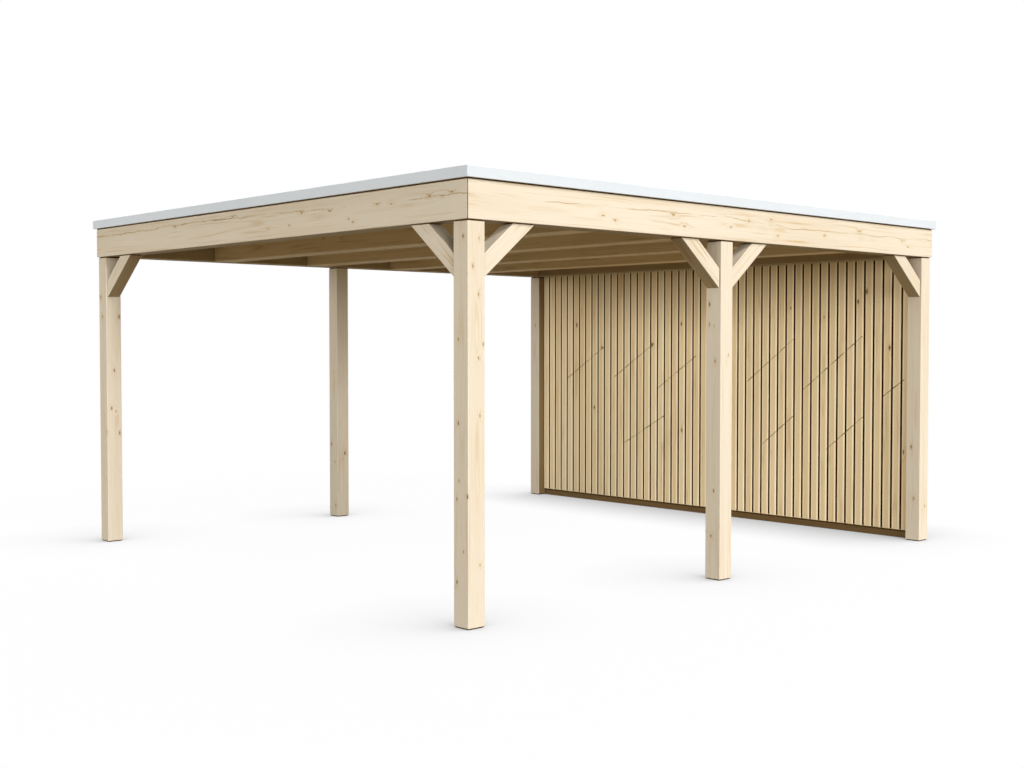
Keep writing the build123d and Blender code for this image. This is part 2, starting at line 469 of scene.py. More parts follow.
def spruce(name, pale, amber, streaky=1.0, squiggly=0.0):
    """Planed spruce: growth rings about the heart, amber streaks, a brown vein and small knots."""
    wood = Shading(bpy.data.materials.new(name))
    grain = wood.attribute("grain", "Vector")
    along = wood.part(grain, "X")

    # How far each spot is from the nearest knot, in radii of that knot
    knot_radius = wood.attribute("knot_radius", "Fac")
    away = wood.vector("SUBTRACT", grain, wood.attribute("knot_at", "Vector"))
    away = wood.vector("LENGTH", wood.vector("MULTIPLY", away, KNOT_STRETCH))
    ragged = wood.noise(grain, KNOT_EDGE_WAVES, detail=1.0)
    away = wood.math("MULTIPLY", away, wood.ease(ragged, *KNOT_EDGE_ONSET, *KNOT_RAGGED))
    reach = wood.math("DIVIDE", away, knot_radius)
    near_knot = wood.ease(reach, KNOT_REACH, CLOSE_TO_KNOT)

    # The rings waver along the log, and part round each knot
    waver = wood.noise(grain, RING_WAVES)
    heart = wood.vector("LENGTH", wood.vector("MULTIPLY", grain, ACROSS_GRAIN))
    closest, swelling = PARTED_RINGS
    swell = wood.math("MULTIPLY", knot_radius, wood.ease(reach, KNOT_REACH, closest, 0.0, swelling))
    age = wood.math("MULTIPLY_ADD", waver, RING_WAVER, wood.math("ADD", heart, swell))
    ring = wood.math("FRACT", wood.math("DIVIDE", age, RING_WIDTH))
    late_wood = wood.math("POWER", ring, RING_CONTRAST)
    rings_along = wood.join(age, along, 0.0)
    streaks = wood.noise(rings_along, STREAK_WAVES)
    clouds = wood.noise(rings_along, CLOUD_WAVES)
    fibre = wood.noise(grain, FIBRE_WAVES)

    # The vein wanders about its line, and comes and goes in strokes
    strokes = wood.noise(grain, STROKE_WAVES)
    wander = wood.noise(grain, WANDER_WAVES, detail=3.0)
    squiggle = wood.noise(grain, SQUIGGLE_WAVES)
    off_vein = wood.math("MULTIPLY_ADD", wander, VEIN_WANDER, wood.attribute("off_vein", "Fac"))
    off_vein = wood.math("MULTIPLY_ADD", squiggle, squiggly, off_vein)
    off_vein = wood.math("ABSOLUTE", wood.math("SUBTRACT", off_vein, (VEIN_WANDER + squiggly) / 2))
    vein = wood.math("MULTIPLY", wood.ease(off_vein, *VEIN_WIDTHS), wood.ease(strokes, *STROKE_ONSET))
    tangle = wood.math("MULTIPLY", wood.ease(off_vein, *TANGLE_WIDTHS), near_knot)

    # How far the wood has turned from pale to amber, then the vein, the knots and the face's tone
    share = wood.ease(streaks, *STREAK_ONSET, 0.0, STREAK_SHARE * streaky)
    share = wood.math("ADD", share, wood.ease(clouds, *CLOUD_ONSET, 0.0, CLOUD_SHARE * streaky))
    ring_share = wood.math("MULTIPLY_ADD", near_knot, KNOT_RING_SHARE, RING_SHARE)
    share = wood.math("MULTIPLY_ADD", late_wood, ring_share, share)
    share = wood.math("MULTIPLY_ADD", wood.ease(fibre, *FIBRE_ONSET), FIBRE_SHARE, share)
    share = wood.math("MAXIMUM", share, wood.ease(reach, *HALO_EDGE, 0.0, HALO_SHARE))
    share = wood.math("MINIMUM", share, 1.0)
    colour = wood.mix(share, pale, amber)
    vein = wood.math("MAXIMUM", vein, wood.math("MULTIPLY", tangle, late_wood))
    colour = wood.mix(wood.math("MULTIPLY", vein, VEIN_SHARE), colour, VEIN_OCHRE)
    knot = wood.mix(wood.attribute("knot_dark", "Fac"), KNOT_OCHRE, KNOT_BROWN)
    colour = wood.mix(wood.ease(reach, *KNOT_EDGE, 0.0, KNOT_SHARE), colour, knot)
    tone = wood.attribute("tone", "Fac")
    browning = wood.join(*(wood.math("POWER", tone, power) for power in BROWNING))
    wood.colour = wood.vector("MULTIPLY", colour, browning)
    wood.feed(wood.surface.inputs["Base Color"], wood.colour)
    wood.feed(wood.surface.inputs["Roughness"], wood.ease(share, 0.0, SMOOTHEST_SHARE, *WOOD_ROUGHNESS))
    wood.surface.inputs["Specular IOR Level"].default_value = WOOD_SHEEN
    ring_relief = wood.math("MULTIPLY", late_wood, RING_RELIEF)
    wood.bump(wood.math("MULTIPLY_ADD", fibre, FIBRE_RELIEF, ring_relief), WOOD_RELIEF)
    return wood


post_wood = spruce("post_spruce", PALE_SPRUCE, AMBER_SPRUCE, streaky=POST_STREAKS).owner
for name in [f"{row}_{column}_post" for row in POST_ROWS for column in POST_COLUMNS]:
    low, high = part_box(name)
    size = high - low
    dice = random.Random(name + " checks")
    checks = [
        (side, CHECK_ACROSS, *(dice.uniform(*limits) for limits in CHECK_LIMITS))
        for side in dice.sample(range(4), CHECKS_PER_POST)
    ]
    bar = timber(name, (low + high) / 2, UP, RIGHT, (size.z, size.x, size.y), bevel=POST_BEVEL,
                 checks=checks, marks=POST_MARKS.get(name, ()))
    # Painted shade: the rear posts' sides next to the wall are darkened
    if name.startswith("rear"):
        darken_shaded_side(bar, RIGHT if low.x < 0 else -RIGHT, POST_BY_WALL_SHADE)
    fit(f"{name}_timber", [bar], post_wood, name)


# Beams: four deep spruce beams on the post heads, mitred at the corners and screwed down from
# above, with a brown vein and tangled grain along each. The wide chamfer on top sheds water; its
# dark is painted shade, the shadow under the metal edge. Inner sides and undersides are darkened
# with painted shade.

SIDES = {"front": -BACK, "right": RIGHT, "rear": BACK, "left": -RIGHT}
RING_MITRE = (1, 1)
BEAM_TOP = (0.010, 1)
BEAM_CORNERS = (EASED, BEAM_TOP, EASED, EASED)
BEAM_HEART = 0.05
BEAM_WHORL = 1.3
# How dark the painted shade makes the beams' inner sides and undersides
BEAM_INNER_SHADE = 0.6
BEAM_UNDERSIDE_SHADE = 0.55
OUTER_SIDE = 0
# A crack in the front beam, told as the posts' checks are: side, share across, start, end and gape
FRONT_CRACK = (OUTER_SIDE, 0.77, 0.12, 0.45, 0.003)
# Points that the veins pass: distance along the beam from its middle, and height above its axis
FRONT_VEIN = [
    (-2.15, 0.026), (-1.71, 0.029), (-1.30, 0.039), (-1.06, 0.032), (-0.35, 0.047), (0.09, 0.048),
    (0.15, 0.070), (0.37, 0.057), (0.82, 0.057), (1.14, 0.062), (1.35, 0.041), (2.18, 0.050),
]
SIDE_VEIN = [
    (-2.30, 0.020), (-0.96, 0.010), (-0.50, 0.005), (0.19, 0.038), (0.79, 0.032), (1.05, 0.030),
    (1.34, 0.029), (1.61, 0.021), (2.02, 0.020), (2.36, 0.021),
]
BEAM_VEINS = {"front": FRONT_VEIN, "right": SIDE_VEIN, "rear": FRONT_VEIN, "left": SIDE_VEIN}
# How far each beam's vein squiggles about its line
BEAM_SQUIGGLES = {"front": 0.022, "right": 0.0, "rear": 0.022, "left": 0.0}
# Knots that show most: their places on the beams' outer sides, their radii and how dark they are
BEAM_MARKS = {
    "front": [
        ((-0.96, -2.38, 2.357), 0.005, 0.3), ((-0.18, -2.38, 2.374), 0.0045, 0.4),
        ((0.63, -2.38, 2.340), 0.005, 0.2), ((0.93, -2.38, 2.330), 0.005, 0.2),
        ((0.49, -2.38, 2.273), 0.004, 0.3), ((1.12, -2.38, 2.270), 0.004, 0.3),
        ((1.40, -2.38, 2.336), 0.005, 0.2), ((1.53, -2.38, 2.327), 0.004, 0.1),
        ((1.87, -2.38, 2.343), 0.005, 0.3), ((1.98, -2.38, 2.337), 0.004, 0.1),
        ((2.06, -2.38, 2.351), 0.0045, 0.4),
    ],
    "right": [
        ((2.19, -1.335, 2.283), 0.005, 0.1), ((2.19, -1.234, 2.262), 0.0055, 0.2),
        ((2.19, -0.707, 2.327), 0.006, 0.2), ((2.19, -0.601, 2.264), 0.0055, 0.1),
        ((2.19, -0.136, 2.286), 0.005, 0.2), ((2.19, 0.056, 2.337), 0.005, 0.1),
        ((2.19, 0.299, 2.361), 0.006, 0.2), ((2.19, 0.375, 2.260), 0.0045, 0.1),
        ((2.19, 0.922, 2.290), 0.0045, 0.1), ((2.19, 1.360, 2.345), 0.0055, 0.2),
        ((2.19, 1.951, 2.305), 0.005, 0.1), ((2.19, 2.029, 2.263), 0.005, 0.2),
    ],
}


def mitred(name, side, **wood):
    """A bar of a ring round the roof, mitred to its neighbours, from its node's box."""
    low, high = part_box(name)
    outward = SIDES[side]
    size = high - low
    width = abs(size.dot(outward))
    length = max(abs(size.x), abs(size.y)) - width
    return timber(name, (low + high) / 2, outward.cross(UP), outward, (length, width, size.z),
                  mitre=RING_MITRE, **wood)


beam_wood = {
    side: spruce(f"{side}_beam_spruce", PALE_SPRUCE, AMBER_SPRUCE, squiggly=squiggly).owner
    for side, squiggly in BEAM_SQUIGGLES.items()
}
for side, outward in SIDES.items():
    name = f"{side}_beam"
    bar = mitred(name, side, corners=BEAM_CORNERS, whorl=BEAM_WHORL, heart_drift=BEAM_HEART,
                 checks=[FRONT_CRACK] if side == "front" else [],
                 marks=BEAM_MARKS.get(side, ()), vein=BEAM_VEINS[side])
    # Painted shade: the top chamfer, under the metal edge, gets the dark of end grain
    below_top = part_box(name)[1].z - face_middles(bar)[:, 2]
    chamfer_in_shade = (below_top > HAIRLINE) & (below_top < BEAM_TOP[0] - HAIRLINE)
    bar["tone"][chamfer_in_shade] = DARK_END_AND_SHADE_LINE
    # Painted shade on the inner side and the underside
    darken_shaded_side(bar, -outward, BEAM_INNER_SHADE)
    darken_shaded_side(bar, -UP, BEAM_UNDERSIDE_SHADE)
    fit(f"{name}_timber", [bar], beam_wood[side], name)


# Knee braces: six short square lengths of spruce that stiffen the corners between posts and
# beams, cut to lie flat against both and screwed from their hidden sides. Their edges are eased
# as well, and their undersides are darkened with painted shade.

BRACES = {
    "front_left_inward_brace": RIGHT,
    "front_right_inward_brace": -RIGHT,
    "front_right_side_brace": BACK,
    "middle_right_front_brace": -BACK,
    "middle_right_rear_brace": BACK,
    "rear_right_side_brace": -BACK,
}
BRACE_WHORL = 0.6
BRACE_HEART = 0.015
# How dark the painted shade makes the braces' undersides
BRACE_UNDERSIDE_SHADE = 0.5
BRACE_STREAKS = 1.2

brace_wood = spruce("brace_spruce", PALE_SPRUCE, AMBER_SPRUCE, streaky=BRACE_STREAKS).owner
for name, lean in BRACES.items():
    low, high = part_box(name)
    size = high - low
    run, drop = abs(size.dot(lean)), size.z
    section = min(size.x, size.y)
    slant = math.hypot(run, drop)
    share = 1 - section * slant / (2 * run * drop)
    corner = (low + high) / 2 + (UP * drop - lean * run) / 2
    middle = corner + (lean * run - UP * drop) * share / 2
    upward = (lean * run + UP * drop) / slant
    downward = (lean * drop - UP * run) / slant
    bar = timber(name, middle, upward, downward, (share * slant, section, section),
                 mitre=(drop / run, run / drop), bevel=POST_BEVEL, whorl=BRACE_WHORL,
                 heart_drift=BRACE_HEART)
    # Painted shade on the underside
    darken_shaded_side(bar, downward, BRACE_UNDERSIDE_SHADE)
    fit(f"{name}_timber", [bar], brace_wood, name)


# Rafters: broad spruce timbers across the width, as deep as the beams and let in flush between
# them. They take a darker, browner copy of the spruce: painted shade under the roof.

RAFTERS = [name for name in sorted(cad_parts) if name.startswith("rafter_")]
# A darker, browner copy of the spruce, as painted shade under the roof; the deck boards take it too
SHADED_PALE = (0.735, 0.595, 0.40)
SHADED_AMBER = (0.467, 0.308, 0.15)

rafter_wood = spruce("rafter_spruce", SHADED_PALE, SHADED_AMBER).owner
for name in RAFTERS:
    low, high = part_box(name)
    bar = timber(name, (low + high) / 2, RIGHT, BACK, tuple(high - low), heart_drift=BEAM_HEART)
    fit(f"{name}_timber", [bar], rafter_wood, name)


# Wall rails: a sole plate on the floor, a middle rail and a top rail between the rear posts,
# sawn from darker, rougher wood. The boards are nailed to their front, and just under the boards'
# feet the sole plate is darkened with painted shadow, the shadow of the boards.

RAILS = ("back_wall_sole_plate", "back_wall_middle_rail", "back_wall_top_rail")
RAIL_PALE = (0.165, 0.104, 0.044)
RAIL_AMBER = (0.105, 0.063, 0.026)
SAWN = (0.002, 2)
RAIL_HEART = 0.015
RAIL_STREAKS = 1.3
# How dark the painted shadow of the boards' feet makes the top of the sole plate's front
SOLE_SHADOW = 0.45

rail_wood = spruce("rail_sawn_wood", RAIL_PALE, RAIL_AMBER, streaky=RAIL_STREAKS).owner
for name in RAILS:
    low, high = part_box(name)
    bar = timber(name, (low + high) / 2, RIGHT, BACK, tuple(high - low), heart_drift=RAIL_HEART,
                 corners=(SAWN,) * 4)
    if name == "back_wall_sole_plate":
        # Painted shadow: the upper half of the sole plate's front, under the boards' feet
        spots = face_middles(bar)
        bar["tone"][(spots[:, 1] < low.y + HAIRLINE) & (spots[:, 2] > high.z / 2)] *= SOLE_SHADOW
    fit(f"{name}_timber", [bar], rail_wood, name)


# Back wall: upright tongued spruce boards, nailed through their tongues so that no nail shows.
# A groove stays open between their faces; it is darkened with painted shade, and their rounded
# edges and ends are lightened with painted highlights. Their spruce is a lighter, browner copy,
# painted light for the shade under the roof. Long thin scratches run slantwise over them.

BOARD_COVER = 0.084
BOARD_GAP = 0.017
BOARD_GAP_DEPTH = 0.012
BOARD_ROUND = (0.013, 0.003)
BOARD_ROUND_STEPS = 3
BOARD_BEVEL = 0.004
BOARD_BACK_EASE = 0.0015
BOARD_STEP = 0.12
BOARD_PROUD = 0.0005
BOARD_LIFT = 0.018
# A lighter, browner copy of the spruce: painted light that makes up for the shade under the roof
BOARD_PALE = (0.807, 0.648, 0.40)
BOARD_AMBER = (0.607, 0.44, 0.238)
BOARD_TONES = (0.92, 1.0)
# Painted highlight on the boards' rounded edges and ends, and painted shade in their grooves
EDGE_HIGHLIGHT_TONE = 1.25
GROOVE_SHADE_TONE = 0.05
# How far the log's heart lies beside a board, and how far in front of it or behind it
BOARD_HEART_ASIDE = 0.03
BOARD_HEART_AWAY = (0.03, 0.07)
# One knot in each board's back: its reach along and across, its radius and how dark it is
BACK_KNOT_ALONG = 1.0
BACK_KNOT_ACROSS = 0.028
BACK_KNOT_RADIUS = 0.005
BACK_KNOT_DARK = 0.6
SCRATCH_BROWN = (0.17, 0.105, 0.046)
SCRATCH_WIDTH = 0.0042
SCRATCH_WOBBLE = 0.012
WOBBLE_WAVES = (14.0, 1.0, 14.0)
# A scratch is fainter where the wear, in waves a metre, starts to show
WEAR_WAVES = (9.0, 1.0, 40.0)
WEAR_ONSET = (0.36, 0.55)
FAINT_SCRATCH = 0.7
ON_WALL = (1.0, 0.0, 1.0)
# Knots in the boards' faces: distance to the right and height, radius, and how dark they are
WALL_KNOTS = [
    ((-1.59, 1.71), 0.010, 1.0), ((-1.35, 0.91), 0.009, 1.0), ((-1.25, 1.49), 0.009, 1.0),
    ((-0.61, 1.52), 0.010, 1.0), ((-0.26, 1.71), 0.009, 1.0), ((-0.25, 0.74), 0.009, 1.0),
    ((0.93, 1.83), 0.007, 0.5), ((1.26, 1.75), 0.006, 0.2), ((1.58, 1.87), 0.010, 1.0),
    ((1.66, 1.95), 0.011, 0.9), ((1.87, 1.50), 0.010, 1.0), ((2.00, 0.68), 0.008, 0.9),
]
# Both ends of each scratch on the wall: distance to the right and height
SCRATCHES = [
    ((-1.71, 1.19), (-1.22, 1.50)), ((-1.09, 1.21), (-0.59, 1.53)), ((-0.55, 1.11), (-0.09, 1.42)),
    ((-0.95, 0.59), (-0.47, 0.86)), ((0.48, 1.20), (0.96, 1.57)), ((1.04, 1.13), (1.62, 1.59)),
    ((1.81, 1.11), (2.00, 1.25)), ((0.65, 0.67), (0.96, 0.92)), ((1.29, 0.66), (1.63, 0.94)),
]


def board_outline(pitch, thickness):
    """Section of a tongued board: a face with round edges in front of the wider tongue part."""
    face = (pitch - BOARD_GAP) / 2
    joint = pitch / 2
    front, back = -thickness / 2, thickness / 2
    step = front + BOARD_GAP_DEPTH
    round_across, round_deep = BOARD_ROUND
    turns = [math.radians(90 * number / BOARD_ROUND_STEPS) for number in range(BOARD_ROUND_STEPS + 1)]
    right = [
        (face + round_across * (math.sin(turn) - 1), front + round_deep * (1 - math.cos(turn)))
        for turn in turns
    ]
    right += [(face, step), (joint, step)]
    right += [(joint, back - BOARD_BACK_EASE), (joint - BOARD_BACK_EASE, back)]
    return np.array(right + [(-across, through) for across, through in reversed(right)])


def board_tones(shape, thickness, tone):
    """How light each face of a board is: painted shade in the groove, painted highlights on the rounded
    edges and the ends.
    """
    points, faces, ends = shape
    depth = np.array([points[list(face), 2].mean() for face in faces]) + thickness / 2
    kinds = [ends, depth < HAIRLINE / 2, depth < BOARD_ROUND[1], depth < BOARD_GAP_DEPTH + HAIRLINE]
    return tone * np.select(kinds, [EDGE_HIGHLIGHT_TONE, 1.0, EDGE_HIGHLIGHT_TONE, GROOVE_SHADE_TONE], 1.0)


def nearest_scratch(places, front_end):
    """For each place on the wall, both ends of the scratch nearest to it; the back has none near."""
    ends = np.array(SCRATCHES)
    gaps = np.linalg.norm(ends.mean(1)[None] - places[:, None, (0, 2)], axis=2)
    near = ends[gaps.argmin(1)] + NOWHERE * (places[:, 1] > front_end)[:, None, None]
    level = np.zeros((len(places), 1))
    return [np.column_stack((near[:, end, :1], level, near[:, end, 1:])) for end in (0, 1)]


def scratched(wood):
    """Draws each board's part of the nearest scratch."""
    spot = wood.vector("MULTIPLY", wood.attribute("wall_at", "Vector"), ON_WALL)
    start = wood.attribute("scratch_from", "Vector")
    run = wood.vector("SUBTRACT", wood.attribute("scratch_to", "Vector"), start)
    offset = wood.vector("SUBTRACT", spot, start)
    share = wood.vector("DOT_PRODUCT", offset, run)
    share = wood.math("DIVIDE", share, wood.vector("DOT_PRODUCT", run, run))
    share = wood.math("MINIMUM", wood.math("MAXIMUM", share, 0.0), 1.0)
    foot = wood.vector("MULTIPLY", run, wood.join(share, share, share))
    gap = wood.vector("LENGTH", wood.vector("SUBTRACT", offset, foot))
    noise = wood.noise(spot, WOBBLE_WAVES)
    wobble = wood.math("MULTIPLY_ADD", noise, SCRATCH_WOBBLE, -SCRATCH_WOBBLE / 2)
    gap = wood.math("ABSOLUTE", wood.math("ADD", gap, wobble))
    worn = wood.ease(wood.noise(spot, WEAR_WAVES, detail=1.0), *WEAR_ONSET, FAINT_SCRATCH, 1.0)
    line = wood.math("MULTIPLY", wood.ease(gap, SCRATCH_WIDTH, SCRATCH_WIDTH / 3), worn)
    wood.feed(wood.surface.inputs["Base Color"], wood.mix(line, wood.colour, SCRATCH_BROWN))
    return wood


WOOD_FACTS["wall_at"] = ("FLOAT_VECTOR", "POINT", "vector")
WOOD_FACTS["scratch_from"] = ("FLOAT_VECTOR", "FACE", "vector")
WOOD_FACTS["scratch_to"] = ("FLOAT_VECTOR", "FACE", "vector")
low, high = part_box("back_wall_boards")
low.z += BOARD_LIFT
wall_size = high - low
board_count = round(wall_size.x / BOARD_COVER)
board_pitch = wall_size.x / board_count
outline = board_outline(board_pitch, wall_size.y)
board_shape = loft(lambda distance: outline, wall_size.z, SQUARE_ENDS, BOARD_BEVEL, BOARD_STEP)
upright_axes = np.array((UP, RIGHT, UP.cross(RIGHT)))
dice = random.Random("wall boards")
boards = []
for number in range(board_count):
    middle = (low + high) / 2
    middle.x = low.x + (number + 0.5) * board_pitch
    middle.y += dice.uniform(-BOARD_PROUD, BOARD_PROUD)
    knots = [
        (height - middle.z, x - middle.x, -wall_size.y / 2, radius, dark)
        for (x, height), radius, dark in WALL_KNOTS if abs(x - middle.x) < board_pitch / 2
    ]
    along = dice.uniform(-BACK_KNOT_ALONG, BACK_KNOT_ALONG)
    across = dice.uniform(-BACK_KNOT_ACROSS, BACK_KNOT_ACROSS)
    knots.append((along, across, wall_size.y / 2, BACK_KNOT_RADIUS, BACK_KNOT_DARK))
    aside = dice.uniform(-BOARD_HEART_ASIDE, BOARD_HEART_ASIDE)
    heart = (aside, dice.choice((-1, 1)) * dice.uniform(*BOARD_HEART_AWAY))
    board = sawn(board_shape, middle, upright_axes, knots, heart, 1.0)
    # Painted shade in the grooves, painted highlights on the rounded edges and ends
    board["tone"] = board_tones(board_shape, wall_size.y, dice.uniform(*BOARD_TONES))
    board["scratch_from"], board["scratch_to"] = nearest_scratch(face_middles(board), middle.y)
    board["wall_at"] = board["place"]
    boards.append(board)
board_wood = scratched(spruce("wall_board_spruce", BOARD_PALE, BOARD_AMBER)).owner
fit("back_wall_boarding", boards, board_wood, "back_wall_boards")


# Roof deck: planed spruce boards laid from front to back over the beams and rafters, nailed down
# side by side. From below their eased edges show as fine joints.

DECK_BOARD = 0.121
DECK_JOINT = 0.001
DECK_EASE = 0.003
DECK_EASE_STEPS = 2
DECK_STEP = 0.4
DECK_TONES = (0.92, 1.04)
# Knots of each board: how many, their reach along and across, their radii and how dark they are
DECK_KNOTS = 8
DECK_KNOT_ALONG = 2.3
DECK_KNOT_ACROSS = 0.045
DECK_KNOT_RADII = (0.003, 0.007)
DECK_KNOT_DARK = (0.2, 0.8)
DECK_HEART_ASIDE = 0.04
DECK_HEART_AWAY = (0.03, 0.08)

low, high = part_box("roof_deck")
deck_size = high - low
deck_count = round(deck_size.x / DECK_BOARD)
deck_pitch = deck_size.x / deck_count
deck_corners = ((DECK_EASE, DECK_EASE_STEPS),) * 4
deck_outline, _ = planed_outline(deck_pitch - DECK_JOINT, deck_size.z, deck_corners, deck_pitch)
deck_shape = loft(lambda distance: deck_outline, deck_size.y, SQUARE_ENDS, DECK_EASE, DECK_STEP)
deck_axes = np.array((BACK, -RIGHT, UP))
dice = random.Random("deck boards")
deck_boards = []
for number in range(deck_count):
    middle = (low + high) / 2
    middle.x = high.x - (number + 0.5) * deck_pitch
    knots = []
    for _ in range(DECK_KNOTS):
        along = dice.uniform(-DECK_KNOT_ALONG, DECK_KNOT_ALONG)
        across = dice.uniform(-DECK_KNOT_ACROSS, DECK_KNOT_ACROSS)
        face = dice.choice((-1, 1)) * deck_size.z / 2
        knots.append((along, across, face, dice.uniform(*DECK_KNOT_RADII), dice.uniform(*DECK_KNOT_DARK)))
    aside = dice.uniform(-DECK_HEART_ASIDE, DECK_HEART_ASIDE)
    heart = (aside, dice.choice((-1, 1)) * dice.uniform(*DECK_HEART_AWAY))
    deck_boards.append(sawn(deck_shape, middle, deck_axes, knots, heart, dice.uniform(*DECK_TONES)))
# The deck boards take the rafters' darker copy of the spruce, painted shade under the roof
deck_wood = spruce("deck_spruce", SHADED_PALE, SHADED_AMBER).owner
fit("roof_deck_boarding", deck_boards, deck_wood, "roof_deck")


# Kerbs: sawn battens screwed round the edge of the deck, mitred at the corners. The roof sheet
# turns up against them and the metal edge is fixed over them.

for side in SIDES:
    name = f"{side}_kerb"
    bar = mitred(name, side, heart_drift=RAIL_HEART, corners=(SAWN,) * 4)
    fit(f"{name}_batten", [bar], rail_wood, name)


# Roof sheet: grey rubber in three widths, lapped and glued, lying a little wavy on the deck
# and turned up against the kerbs under the metal edge.

SHEET = 0.004
SHEET_STEP = 0.07
SHEET_COUNT = 3
SHEET_WAVE = 0.0009
# Ripples from side to side and from front to back: radians a metre, how far they stray, how often
SIDE_RIPPLE = (9.1, 1.7, 3.3)
DEEP_RIPPLE = (5.3, 2.1, 2.2)
LAP_WIDTH = 0.075
LAP_RISE = 0.0015
LAP_EDGE = 0.002
SHEET_GREY = (0.075, 0.078, 0.082)
SHEET_DUST = (0.19, 0.185, 0.175)
# Dust lies in clouds and in specks: their waves a metre, where they start to show, and how much
DUST_WAVES = (1.6, 1.1, 1.0)
DUST_ONSET = (0.40, 0.72)
DUST_SHARE = 0.5
SPECK_WAVES = (260.0, 260.0, 260.0)
SPECK_ONSET = (0.4, 0.9)
SPECK_SHARE = 0.2
SHEET_ROUGHNESS = (0.65, 0.8)
SHEET_RELIEF = 0.0004


def ripple(along, beside, waves):
    """Waves along one way of the sheet that stray with the other."""
    turn, stray, stray_turn = waves
    return np.sin(turn * along + stray * np.sin(stray_turn * beside))


low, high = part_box("roof_membrane")
sheet_width = (high.x - low.x) / SHEET_COUNT
laps = [low.x + sheet_width * number for number in range(1, SHEET_COUNT)]
columns = list(np.linspace(low.x + SHEET, high.x - SHEET, round((high.x - low.x) / SHEET_STEP)))
for lap in laps:
    columns = [x for x in columns if not lap - 2 * LAP_EDGE < x < lap + LAP_WIDTH + 2 * LAP_EDGE]
    columns += [lap - LAP_EDGE, lap, lap + LAP_WIDTH / 2, lap + LAP_WIDTH, lap + LAP_WIDTH + LAP_EDGE]
columns = np.array(sorted(columns))
rows = np.linspace(low.y + SHEET, high.y - SHEET, round((high.y - low.y) / SHEET_STEP))
across, depth = np.meshgrid(columns, rows, indexing="ij")
ripples = ripple(across, depth, SIDE_RIPPLE) * ripple(depth, across, DEEP_RIPPLE)
lapped = sum((across >= lap) & (across <= lap + LAP_WIDTH) for lap in laps)
rise = SHEET_WAVE * ripples + LAP_RISE * lapped
rise = np.maximum(rise, 0) * np.minimum(1, np.minimum(high.y - depth, depth - low.y) / SHEET_STEP)
wide, deep = across.shape
tray_points = [np.stack((across, depth, low.z + SHEET + rise), axis=2).reshape(-1, 3)]
tray_faces = []
for column in range(wide - 1):
    for row in range(deep - 1):
        first = column * deep + row
        tray_faces.append((first, first + deep, first + deep + 1, first + 1))

# The turned-up edge: up its inside, over its top, down its outside, and closed underneath
rim = list(range(deep))[::-1]
rim += [column * deep for column in range(1, wide)]
rim += [(wide - 1) * deep + row for row in range(1, deep)]
rim += [column * deep + deep - 1 for column in range(wide - 2, 0, -1)]
inside = tray_points[0][rim, :2]
outward = np.zeros_like(inside)
for axis, line in ((0, columns), (1, rows)):
    outward[:, axis] += SHEET * (inside[:, axis] >= line[-1])
    outward[:, axis] -= SHEET * (inside[:, axis] <= line[0])
loop = rim
for flat, height in ((inside, high.z), (inside + outward, high.z), (inside + outward, low.z)):
    start = sum(len(points) for points in tray_points)
    tray_points.append(np.column_stack((flat, np.full(len(flat), height))))
    next_loop = list(range(start, start + len(rim)))
    for number in range(len(rim)):
        after = (number + 1) % len(rim)
        tray_faces.append((loop[number], next_loop[number], next_loop[after], loop[after]))
    loop = next_loop
tray_faces.append(tuple(loop))

rubber = Shading(bpy.data.materials.new("roof_rubber"))
roof_at = rubber.nodes.new("ShaderNodeTexCoord").outputs["Object"]
dusty = rubber.ease(rubber.noise(roof_at, DUST_WAVES, detail=5.0), *DUST_ONSET, 0.0, DUST_SHARE)
specks = rubber.noise(roof_at, SPECK_WAVES)
dust = rubber.math("ADD", dusty, rubber.ease(specks, *SPECK_ONSET, 0.0, SPECK_SHARE))
dustiest = DUST_SHARE + SPECK_SHARE
rubber.feed(rubber.surface.inputs["Base Color"], rubber.mix(dust, SHEET_GREY, SHEET_DUST))
rubber.feed(rubber.surface.inputs["Roughness"], rubber.ease(dust, 0.0, dustiest, *SHEET_ROUGHNESS))
rubber.bump(specks, SHEET_RELIEF)
tray = {"place": np.concatenate(tray_points), "faces": tray_faces}
fit("roof_sheet", [tray], rubber.owner, "roof_membrane")


# Roof edge: pale coated aluminium sheet folded over the kerbs, one length a side, mitred at the
# corners. It hooks under the deck by a short return, and its top is glued down past the kerb.

TRIM_SHEET = 0.002
TRIM_FOLD = 0.003
TRIM_FOLD_STEPS = 3
TRIM_RETURN = 0.014
TRIM_PALE = (0.60, 0.635, 0.662)
TRIM_DULL = (0.525, 0.555, 0.58)
# The coating dulls in clouds and in its grain: waves a metre, where they start to show, and how much
CLOUDY_WAVES = (2.3, 2.3, 7.0)
CLOUDY_ONSET = (0.35, 0.75)
CLOUDY_SHARE = 0.3
GRAINY_WAVES = (420.0, 420.0, 420.0)
GRAINY_ONSET = (0.3, 0.8)
GRAINY_SHARE = 0.4
TRIM_ROUGHNESS = (0.38, 0.5)
TRIM_METAL = 0.15
TRIM_RELIEF = 0.0002


def fold(across, up, radius, start):
    """A quarter turn of the sheet about a point of its section."""
    turns = [math.radians(start + 90 * step / TRIM_FOLD_STEPS) for step in range(TRIM_FOLD_STEPS + 1)]
    return [(across + radius * math.cos(turn), up + radius * math.sin(turn)) for turn in turns]


